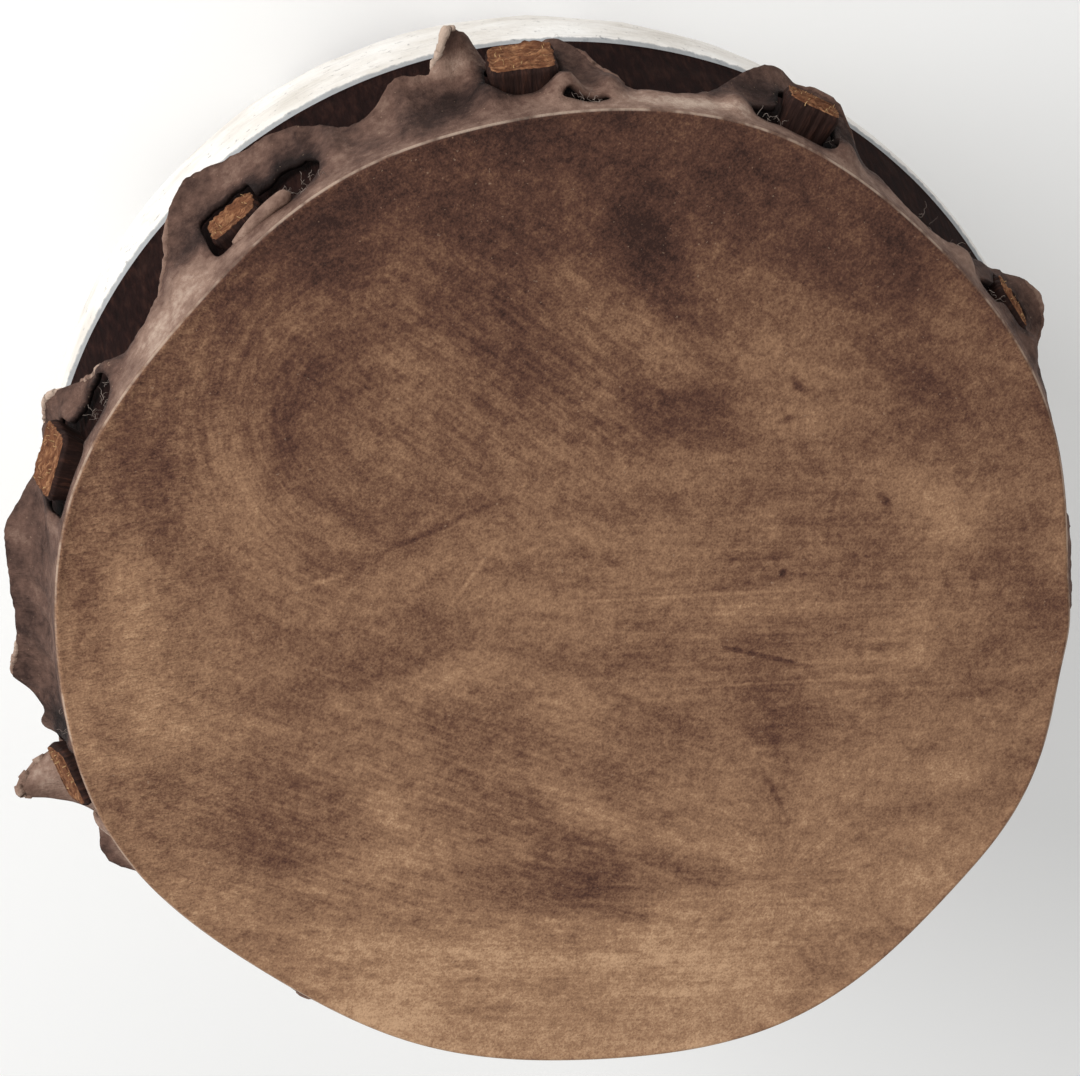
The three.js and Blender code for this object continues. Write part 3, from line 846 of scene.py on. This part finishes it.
# Which way the scraper ran: x, y, how far it ran that way round there, and its turn.
STROKES = [
    (-95, -78, 60, -22), (15, -78, 42, -33), (-10, -132, 70, -6), (95, 8, 60, 1), (-20, 95, 42, -38),
    (30, 84, 22, 58), (-62, -14, 24, 46), (130, -5, 24, 87), (100, 112, 48, -50), (-120, 122, 48, 52),
    (30, 142, 40, -48), (70, 74, 24, 20), (80, -48, 18, -76), (-155, 10, 34, 70),
]
ARC_CENTRE = (-63, 78)
ARC_RADIUS = 54
FAN_CENTRE = (74, -106)
FAN_REACH = 34
STREAK_STEP = 3.0
STREAK_STEPS = 5
LATTICE = 97
PATCH_DARKER = 0.12
PLACE_DARKER = 0.19
PLACE_LIGHTER = 0.15
HEAD_TONE = 0.54
HEAD_CONTRAST = 0.62
# How much lighter the head is at each y in mm: lighter towards -y and darker towards +y.
HEAD_TONE_ALONG_Y = [
    (-185, 0.28), (-140, 0.2), (-103, 0.13), (-60, 0.06), (0, 0.04), (60, -0.03), (107, -0.12),
    (149, -0.27), (185, -0.36),
]

# Fine creases, cuts and scratches: where they start and end, their width and how dark they are.
CREASES = [
    (-68, 30, -27, 47, 1.2, 0.55), (-46, 8, -30, 30, 0.8, -0.5), (52, -12, 80, -20, 1.0, 0.8),
    (73, 87, 77, 82, 1.4, 0.9), (68, 71, 74, 73, 1.2, 0.8), (105, 44, 109, 39, 1.6, 1.0),
    (70.8, 16, 72.6, 15, 1.6, 1.0), (0, 8, 86, 9, 0.7, -0.4), (20, -27, 110, -26, 0.6, -0.4),
    (66, -60, 77, -82, 1.1, 0.5), (-100, 17, -82, 22, 0.8, -0.5),
]


def eased(share):
    """A smooth step from nought to one as the share goes from nought to one."""
    share = np.clip(share, 0, 1)
    return share * share * (3 - 2 * share)


def soft_noise(x, y, size, seed):
    """Smooth noise from -0.5 to 0.5, with features of about that size in mm."""
    lattice = np.random.RandomState(seed).rand(LATTICE, LATTICE) - 0.5
    x, y = x / size + 40, y / size + 40
    i, j = np.floor(x).astype(int), np.floor(y).astype(int)
    u, v = eased(x - i), eased(y - j)
    i, j, on, up = i % LATTICE, j % LATTICE, (i + 1) % LATTICE, (j + 1) % LATTICE
    low = lattice[i, j] * (1 - u) + lattice[on, j] * u
    high = lattice[i, up] * (1 - u) + lattice[on, up] * u
    return low * (1 - v) + high * v


def stroke_way(x, y):
    """The way the scraper ran at each point of the head, as a unit step."""
    runs = [(bell(np.hypot(x - cx, y - cy) / reach), np.radians(turn)) for cx, cy, reach, turn in STROKES]
    arc_x, arc_y = x - ARC_CENTRE[0], y - ARC_CENTRE[1]
    arc = bell((np.hypot(arc_x, arc_y) - ARC_RADIUS) / 20) * np.clip(0.5 - arc_x / 60, 0, 1)
    runs.append((1.6 * arc, np.arctan2(arc_y, arc_x) + math.pi / 2))
    fan_x, fan_y = x - FAN_CENTRE[0], y - FAN_CENTRE[1]
    runs.append((1.3 * bell(np.hypot(fan_x, fan_y) / FAN_REACH), np.arctan2(fan_y, fan_x)))
    both_x = sum(weight * np.cos(2 * turn) for weight, turn in runs)
    both_y = sum(weight * np.sin(2 * turn) for weight, turn in runs)
    turn = np.arctan2(both_y, both_x) / 2
    return np.cos(turn), np.sin(turn)


def blotches(x, y):
    """How light the skin itself is at each point, before the scraper drew it out."""
    tone_here = sum(share * soft_noise(x, y, size, seed)
                    for size, share, seed in ((48, 0.18, 3), (22, 0.24, 5), (11, 0.32, 8), (5, 0.34, 13)))
    wobble_x = 16 * soft_noise(x, y, 18, 21) + 7 * soft_noise(x, y, 7, 22)
    wobble_y = 16 * soft_noise(x, y, 18, 23) + 7 * soft_noise(x, y, 7, 24)
    mottle = soft_noise(x + wobble_x, y + wobble_y, 19, 31) + 0.55 * soft_noise(x, y, 8, 32)
    tone_here -= PATCH_DARKER * eased((mottle + 0.04) / 0.34)
    for places, push in ((DARK_PLACES, -PLACE_DARKER), (LIGHT_PLACES, PLACE_LIGHTER)):
        for cx, cy, length, width, turn, strength in places:
            along, across = along_across(x + wobble_x - cx, y + wobble_y - cy, math.radians(turn))
            tone_here += push * strength * eased(1.5 - np.hypot(along / length, across / width))
    return tone_here


def head_tone(x, y):
    """How light each point of the head is, from 0 to 1, drawn out along the scraper's strokes."""
    total, weights = blotches(x, y), 1.0
    for sense in (1, -1):
        here_x, here_y = x.copy(), y.copy()
        way_x, way_y = (sense * part for part in stroke_way(x, y))
        for step in range(1, STREAK_STEPS + 1):
            here_x, here_y = here_x + STREAK_STEP * way_x, here_y + STREAK_STEP * way_y
            new_x, new_y = stroke_way(here_x, here_y)
            turned = np.sign(new_x * way_x + new_y * way_y)
            way_x, way_y = new_x * turned, new_y * turned
            weight = bell(step / 3)
            total = total + weight * blotches(here_x, here_y)
            weights += weight
    tone_along_y = np.interp(y, [at for at, _ in HEAD_TONE_ALONG_Y], [share for _, share in HEAD_TONE_ALONG_Y])
    return np.clip(HEAD_TONE + HEAD_CONTRAST * total / weights + tone_along_y, 0, 1)


def note_tones(piece, marks):
    """Writes the hide's tones, the skirt's painted light and shade and the zones of its fine strokes on the
    mesh, for its finish to read.
    """
    spots = np.zeros(len(piece.data.vertices) * 3)
    piece.data.vertices.foreach_get("co", spots)
    x, y, _ = spots.reshape(-1, 3).T * 1000
    arc = np.hypot(x - ARC_CENTRE[0], y - ARC_CENTRE[1])
    left_arc = bell((arc - ARC_RADIUS) / 22) * np.clip(0.5 - (x - ARC_CENTRE[0]) / 60, 0, 1)
    fan = bell(np.hypot(x - FAN_CENTRE[0], y - FAN_CENTRE[1]) / 30)
    low_left = bell(np.hypot((x + 60) / 90, (y + 75) / 50))
    level = bell(np.hypot((x - 70) / 70, y / 45)) + bell(np.hypot(x / 120, (y + 130) / 34))
    top = bell(np.hypot((x + 20) / 50, (y - 92) / 40))
    zones = {
        "scraped": (head_tone(x, y), left_arc, fan),
        "stroked": (low_left, level, top),
        "skirted": marks.T,
    }
    for name, parts in zones.items():
        attribute = piece.data.attributes.new(name, "FLOAT_VECTOR", "POINT")
        attribute.data.foreach_set("vector", np.stack(parts, axis=1).astype(np.float32).ravel())


def rawhide_finish():
    """Scraped rawhide, dried hard: brown and blotched, brushed by the scraper, with fine open pores."""
    hide = Finish("scraped_rawhide", gloss=0.12)
    scraped, stroked, skirted = (
        hide.add("ShaderNodeAttribute", attribute_name=name).outputs["Vector"]
        for name in ("scraped", "stroked", "skirted")
    )
    below = hide.axis("X", skirted)
    value = hide.axis("X", scraped)

    def round_place(centre, around, length, width):
        place = hide.turned(*centre)
        x, y = hide.axis("X", place), hide.axis("Y", place)
        far = hide.add("ShaderNodeVectorMath", {0: place, 1: (1, 1, 0)}, operation="MULTIPLY").outputs[0]
        far = hide.add("ShaderNodeVectorMath", {0: far}, operation="LENGTH").outputs["Value"]
        turn = hide.maths("ARCTAN2", y, x)
        sizes = (1 / width, ARC_RADIUS / length) if around else (1 / length, FAN_REACH / width)
        inputs = {0: hide.maths("MULTIPLY", far, sizes[0]), 1: hide.maths("MULTIPLY", turn, sizes[1])}
        return hide.add("ShaderNodeCombineXYZ", inputs).outputs[0]

    strokes = [
        (round_place(ARC_CENTRE, True, 22, 2.2), 0.6, hide.axis("Y", scraped), 0.42),
        (round_place(FAN_CENTRE, False, 20, 2.2), 0.6, hide.axis("Z", scraped), 0.35),
        (hide.turned(turn=-23, size=(20, 2.2, 20)), 0, hide.axis("X", stroked), 0.5),
        (hide.turned(turn=-2, size=(26, 2.0, 26)), 0, hide.axis("Y", stroked), 0.4),
        (hide.turned(turn=-38, size=(16, 2.0, 16)), 0, hide.axis("Z", stroked), 0.5),
    ]
    for place, bend, share, strength in strokes:
        run = hide.grain(1, 2, 0.6, place, bend)
        value = hide.varied(value, run, hide.maths("MULTIPLY", share, strength))
    nap = hide.grain(2.4, 4, 0.78, hide.turned(turn=35, size=(1.25, 1, 1)))
    wrinkle = hide.grain(1, 2, 0.6, hide.turned(turn=6, size=(5, 1.2, 5)), 0.8)
    wrinkled = hide.between(hide.axis("X"), -90, -150)
    wrinkle = hide.blend(wrinkled, (0.5, 0.5, 0.5, 1), wrinkle)
    pores = hide.grain(0.8, 2, 0.6)
    mottle = hide.grain(6, 2, 0.6, bend=0.4)
    for grain, strength in ((nap, 0.5), (pores, 0.58), (mottle, 0.36), (wrinkle, 0.3)):
        value = hide.varied(value, grain, strength)
    for x1, y1, x2, y2, width, dark in CREASES:
        turn = math.degrees(math.atan2(y2 - y1, x2 - x1))
        half = math.hypot(x2 - x1, y2 - y1) / 2
        line = hide.spot((x1 + x2) / 2, (y1 + y2) / 2, half, width, turn, 0.6)
        value = hide.maths("SUBTRACT", value, hide.maths("MULTIPLY", line, 0.3 * dark))
    colour = hide.ramp(value, [
        (0.04, 52, 34, 29), (0.26, 84, 56, 45), (0.42, 108, 77, 59), (0.56, 131, 98, 75),
        (0.74, 156, 120, 92), (0.97, 192, 155, 122),
    ])
    cloud = hide.grain(15, 3, 0.68)
    # The skirt's value: painted light and shade from the mesh, with a random cloud and the nap over it.
    skirt_painted_light_and_mottle = hide.varied(hide.maths("ADD", hide.axis("Y", skirted), 0.5), cloud, 0.9)
    skirt_painted_light_and_mottle = hide.varied(skirt_painted_light_and_mottle, nap, 0.45)
    # Painted shade round the holes and slits, and over the hide's inside face.
    skirt_painted_light_and_mottle = hide.maths("SUBTRACT", skirt_painted_light_and_mottle, hide.maths("MULTIPLY", hide.axis("Z", skirted), 0.28))
    skirt_tone = hide.ramp(skirt_painted_light_and_mottle, [
        (0.02, 30, 21, 19), (0.25, 58, 42, 37), (0.5, 98, 74, 64),
        (0.75, 138, 112, 98), (0.98, 182, 160, 144),
    ])
    colour = hide.blend(hide.between(below, -2.0, -0.9), colour, skirt_tone)
    # A painted highlight: a thin pale line along the rim's bend, where light catches the hide's roll over
    # the rim.
    clay_wear_and_rim_highlight = hide.maths("MULTIPLY", hide.between(below, -2.7, -2.1), hide.between(below, -1.1, -1.6))
    clay_wear_and_rim_highlight = hide.maths("MULTIPLY", clay_wear_and_rim_highlight, hide.between(cloud, 0.4, 0.6, 0.1, 0.62))
    colour = hide.blend(clay_wear_and_rim_highlight, colour, tone(190, 168, 150))
    specks = hide.between(hide.grain(1.4, 2, 0.5), 0.71, 0.76, 0, 0.3)
    colour = hide.blend(specks, colour, tone(186, 158, 132))
    rough = hide.between(nap, 0.3, 0.7, 0.86, 0.7)
    normal = hide.relief(pores, 0.3)
    normal = hide.relief(nap, 0.45, normal)
    normal = hide.relief(wrinkle, 0.6, normal)
    return hide.done(colour, rough, normal)


def cut_edge_finish():
    """The hide's cut edge, where the dried skin is horn-yellow with brown fibres."""
    edge = Finish("cut_hide_edge", gloss=0.5)
    fibre = edge.grain(5, 5, 0.7)
    old = edge.ramp(fibre, [(0.34, 62, 44, 36), (0.5, 96, 72, 58), (0.66, 128, 98, 76)])
    horn = edge.ramp(fibre, [(0.36, 158, 116, 78), (0.6, 214, 182, 128)])
    colour = edge.blend(edge.between(edge.grain(46, 3, 0.5), 0.5, 0.58), old, horn)
    return edge.done(colour, edge.between(fibre, 0.3, 0.7, 0.5, 0.7), edge.relief(fibre, 0.4))


hide_points, hide_faces, hide_finish_of, hide_marks = hide_mesh()
rawhide = rawhide_finish()
cut_edge = cut_edge_finish()
head = new_piece("rawhide_head", hide_points, hide_faces, [rawhide, cut_edge], hide_finish_of, flat=(1,))
note_tones(head, hide_marks)
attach(head, "root")
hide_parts("head_hide")

# Torn fibres stand in the slits, where the blunt knife dragged the wet hide. Each is a stiff hair of skin,
# fast in the hide at one end. Sizes in mm.
FIBRE_SPOTS = [
    (88.9, 9, 12), (121.8, 14, 14), (119, 10, 8), (153.8, 14, 14), (150.5, 18, 5), (69.4, 13, 10),
    (36.6, 14, 8), (44, 18, 8), (47.5, 20, 5), (61.5, 22, 5), (191.8, 18, 8), (224, 12, 4), (290, 13, 4),
]
FIBRE_RADIUS = 0.1
FIBRE_STEPS = 8
FIBRE_SIDES = 4


def fibre_mesh():
    chance = random.Random(20)
    points, faces = [], []
    for turn, depth, count in FIBRE_SPOTS:
        for _ in range(count):
            beside, lower, out = chance.uniform(-1.6, 1.6), chance.uniform(-3, 3), chance.uniform(1.2, 4)
            place = on_neck(turn + beside, depth + lower, out)
            angle = math.radians(turn + chance.uniform(-60, 60))
            way = np.array([math.cos(angle), math.sin(angle), chance.uniform(-0.2, 1.0)])
            path = [place]
            for _ in range(FIBRE_STEPS - 1):
                way = way + np.array([chance.uniform(-0.8, 0.8) for _ in range(3)])
                way = way / np.linalg.norm(way)
                path.append(path[-1] + way * chance.uniform(0.35, 0.95))
            radii = np.linspace(FIBRE_RADIUS, FIBRE_RADIUS * 0.45, FIBRE_STEPS)
            new_points, new_faces = tube(path, radii, FIBRE_SIDES, len(points))
            points += [tuple(point) for point in new_points]
            faces += new_faces
    return points, faces


def plain_finish(name, gloss, size, stops, rough):
    """A finish of one soft grain: its size in mm, its tones and how rough it is from dark to light."""
    plain = Finish(name, gloss)
    shade = plain.grain(size, 2, 0.5)
    colour = plain.ramp(shade, stops)
    return plain.done(colour, plain.between(shade, 0.3, 0.7, *rough), plain.relief(shade, 0.05))


fibre_tones = [(0.35, 92, 78, 70), (0.65, 164, 150, 140)]
fibre_finish = plain_finish("torn_skin_fibre", 0.2, 3, fibre_tones, (0.6, 0.8))
fibre_points, fibre_faces = fibre_mesh()
fibres = new_piece("torn_fibres", fibre_points, fibre_faces, [fibre_finish])
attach(fibres, "root")

# Eleven pegs, split from a reddish hardwood block and driven through the hide into the neck. The split
# leaves long grooves down their sides, and the outer ends are chopped off rough on a slant. Sizes in mm.
PEG_TIP_SHARE = 0.7
PEG_SLANTS = [3, 3, 2, 6, 4, 7, 8, 4, 4, 4, 4]
PEG_ROWS = 28
PEG_SIDES = 80
PEG_END_RINGS = 14
PEG_GROOVE = 0.9
PEG_BEVEL = 2.2
PEG_BEVEL_LOSS = 0.13
PEG_MUSHROOM = 0.06
PEG_END_TAPER = 0.93
SPLINTERS = 18
SPLINTER_RADIUS = 0.35
SPLINTER_STEPS = 4


def peg_outline(width, height, seed):
    """Across and up for each point round a split block, with grooves along its grain."""
    points = []
    for k in range(PEG_SIDES):
        angle = 2 * math.pi * k / PEG_SIDES
        across, up = math.cos(angle), math.sin(angle)
        square = (abs(across) ** 6 + abs(up) ** 6) ** (-1 / 6)
        across, up = across * square * width / 2, up * square * height / 2
        chipped = 0.7 * (0.5 + noise_at(math.cos(angle) * 1.4, math.sin(angle) * 1.4, seed))
        groove = abs(noise_at(across / 1.9, up / 1.9, seed)) * 2
        loss = PEG_GROOVE * (1 - min(groove, 1)) + chipped
        inward = 1 - loss / math.hypot(across, up)
        points.append((across * inward, up * inward))
    return points


def peg_mesh(peg, slant, seed):
    """A split peg along +X, from its tip in the wood to its chopped end."""
    points = []
    outline = peg_outline(peg["width"], peg["height"], seed)
    tip, end = peg["tip"], peg["end"] - abs(slant) / 2
    bevel_start = end - PEG_BEVEL
    for row in range(PEG_ROWS):
        share = 1 - (1 - row / (PEG_ROWS - 1)) ** 1.5
        out = tip + (end - tip) * share
        size = PEG_TIP_SHARE + (1 - PEG_TIP_SHARE) * share
        size += PEG_MUSHROOM * math.exp(-((end - out) / 6) ** 2)
        size -= PEG_BEVEL_LOSS * max(0, (out - bevel_start) / PEG_BEVEL)
        for across, up in outline:
            split = noise_at(out / 16, across / 3, up / 3 + seed)
            shrink = size * (1 - 0.03 * (0.5 + split))
            points.append((out - slant * up / peg["height"] * share, across * shrink, up * shrink))
    for ring in range(1, PEG_END_RINGS):
        left = 1 - ring / PEG_END_RINGS
        for across, up in outline:
            y, z = across * left * PEG_END_TAPER, up * left * PEG_END_TAPER
            layers = noise_at(y / 9, z / 1.5, seed) + 0.5 * noise_at(y / 2, z / 2, seed + 4)
            chip = 2.0 * layers * min(ring / 2, 1) - 0.4
            points.append((end - slant * up * left / peg["height"] + chip, y, z))
    rows = PEG_ROWS + PEG_END_RINGS - 1
    faces = closed_grid(rows, PEG_SIDES, wrap_rows=False).tolist()
    last = (rows - 1) * PEG_SIDES
    faces.append([last + k for k in range(PEG_SIDES)])
    faces.append(list(reversed(range(PEG_SIDES))))
    side_faces = (PEG_ROWS - 3) * PEG_SIDES
    finish_of = [0] * side_faces + [1] * (len(faces) - side_faces - 1) + [0]
    chance = random.Random(round(seed))
    for _ in range(SPLINTERS):
        across, up = chance.choice(outline)
        inward = chance.uniform(0.5, 0.88)
        start = end - slant * up * inward / peg["height"]
        path = [np.array([start - 2.5, across * inward, up * inward])]
        for _ in range(SPLINTER_STEPS):
            step = [chance.uniform(0.5, 1.0), chance.uniform(-0.5, 0.5), chance.uniform(-0.5, 0.5)]
            path.append(path[-1] + step)
        sliver, splinter_faces = tube(path, np.linspace(SPLINTER_RADIUS, 0.1, len(path)), 5, len(points))
        points += [tuple(point) for point in sliver]
        faces += splinter_faces
        finish_of += [2] * len(splinter_faces)
    return points, faces, finish_of


def split_wood_finish():
    """The split sides: dark red-brown, weathered, with pale edges on the ridges of the grain."""
    wood = Finish("split_peg_side", gloss=0.12)
    luck = wood.add("ShaderNodeObjectInfo").outputs["Random"]
    shift = wood.add("ShaderNodeCombineXYZ", {0: wood.maths("MULTIPLY", luck, 900)}).outputs[0]
    wood.place = wood.add("ShaderNodeVectorMath", {0: wood.place, 1: shift}, operation="ADD").outputs[0]
    grain = wood.grain(1, 5, 0.62, wood.turned(size=(26, 1.5, 1.5)))
    stain = wood.grain(9, 4, 0.6)
    colour = wood.ramp(grain, [(0.3, 28, 17, 15), (0.54, 47, 29, 24), (0.78, 84, 52, 40)])
    colour = wood.blend(wood.between(stain, 0.4, 0.7, 0, 0.6), colour, tone(44, 29, 25))
    normal = wood.relief(grain, 0.9)
    return wood.done(colour, wood.between(grain, 0.3, 0.7, 0.85, 0.68), normal)


def chopped_end_finish():
    """The chopped ends: raw orange-brown wood with torn fibres and darker pores."""
    wood = Finish("chopped_peg_end", gloss=0.1)
    fibre = wood.grain(1, 5, 0.68, wood.turned(size=(3, 5, 0.9)))
    pores = wood.grain(1.1, 2, 0.5)
    stain = wood.grain(8, 4, 0.6)
    colour = wood.ramp(fibre, [(0.3, 74, 44, 31), (0.5, 122, 80, 56), (0.7, 178, 132, 94)])
    colour = wood.blend(wood.between(pores, 0.6, 0.72, 0, 0.55), colour, tone(56, 34, 26))
    colour = wood.blend(wood.between(stain, 0.5, 0.75, 0, 0.6), colour, tone(76, 48, 36))
    normal = wood.relief(fibre, 1.2)
    return wood.done(colour, wood.between(fibre, 0.3, 0.7, 0.9, 0.75), normal)


split_side = split_wood_finish()
chopped_end = chopped_end_finish()
straw_tones = [(0.3, 118, 82, 54), (0.68, 204, 170, 122)]
splinter = plain_finish("torn_splinter", 0.1, 2.5, straw_tones, (0.7, 0.85))
for number, (peg, slant) in enumerate(zip(pegs, PEG_SLANTS), start=1):
    block_points, block_faces, block_finish = peg_mesh(peg, slant, seed=11.3 * number)
    finishes = [split_side, chopped_end, splinter]
    block = new_piece(f"split_{peg['node']}", block_points, block_faces, finishes, block_finish)
    at_neck = Matrix.Translation((0, 0, peg["middle"] * 0.001))
    block.matrix_world = Matrix.Rotation(math.radians(peg["turn"]), 4, "Z") @ at_neck
    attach(block, "root")
    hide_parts(peg["node"])

# A pale floor, soft light from the drum's left and a camera that looks down on the head, as a plain
# picture of the drum would be taken. None of it belongs to the drum. Places are in metres.
FLOOR_RADIUS = 6.0
FLOOR_RINGS = 12
FLOOR_COLUMNS = 48
CAMERA_PLACE = Vector((-0.10125, 0.34151, 1.20651))
CAMERA_AIM = Vector((-0.01407, 0.03259, 0.380))
CAMERA_LENS = 85.4
CAMERA_SENSOR = 36
CAMERA_ROLL = -0.311
KEY_TURN = 150
KEY_RISE = 34
KEY_DISTANCE = 2.4
KEY_SIZE = 1.4
KEY_POWER = 46
SKY_STRENGTH = 0.64

floor_points = []
for ring in range(1, FLOOR_RINGS + 1):
    radius = FLOOR_RADIUS * 1000 * (ring / FLOOR_RINGS) ** 2
    for turn in np.radians(np.linspace(0, 360, FLOOR_COLUMNS, endpoint=False)):
        floor_points.append(round_axis(radius, turn, 0))
floor_faces = [face[::-1] for face in closed_grid(FLOOR_RINGS, FLOOR_COLUMNS, wrap_rows=False).tolist()]
floor_faces.append(list(range(FLOOR_COLUMNS)))
floor_tones = [(0.3, 243, 243, 242), (0.7, 247, 247, 246)]
floor_finish = plain_finish("pale_floor", 0.2, 400, floor_tones, (0.8, 0.9))
floor = new_piece("floor", floor_points, floor_faces, [floor_finish])

world = bpy.data.worlds.new("soft_sky")
world.use_nodes = True
world.node_tree.nodes["Background"].inputs["Color"].default_value = (1, 1, 1, 1)
world.node_tree.nodes["Background"].inputs["Strength"].default_value = SKY_STRENGTH
bpy.context.scene.world = world
bpy.context.scene.view_settings.view_transform = "Standard"

key_light = bpy.data.lights.new("key", "AREA")
key_light.energy = KEY_POWER
key_light.size = KEY_SIZE
key = bpy.data.objects.new("key", key_light)
bpy.context.scene.collection.objects.link(key)
key_rise = math.radians(KEY_RISE)
toward_key = Vector(round_axis(math.cos(key_rise), math.radians(KEY_TURN), math.sin(key_rise)))
key.location = CAMERA_AIM + toward_key * KEY_DISTANCE
key.rotation_euler = toward_key.to_track_quat("Z", "Y").to_euler()

camera_data = bpy.data.cameras.new("camera")
camera_data.lens = CAMERA_LENS
camera_data.sensor_width = CAMERA_SENSOR
camera = bpy.data.objects.new("camera", camera_data)
bpy.context.scene.collection.objects.link(camera)
back = (CAMERA_PLACE - CAMERA_AIM).normalized()
level = Vector((0, 1, 0)).cross(back).normalized()
level_up = back.cross(level)
roll = math.radians(CAMERA_ROLL)
right = level * math.cos(roll) + level_up * math.sin(roll)
up = back.cross(right)
camera.matrix_world = Matrix.Translation(CAMERA_PLACE) @ Matrix((right, up, back)).transposed().to_4x4()
bpy.context.scene.camera = camera
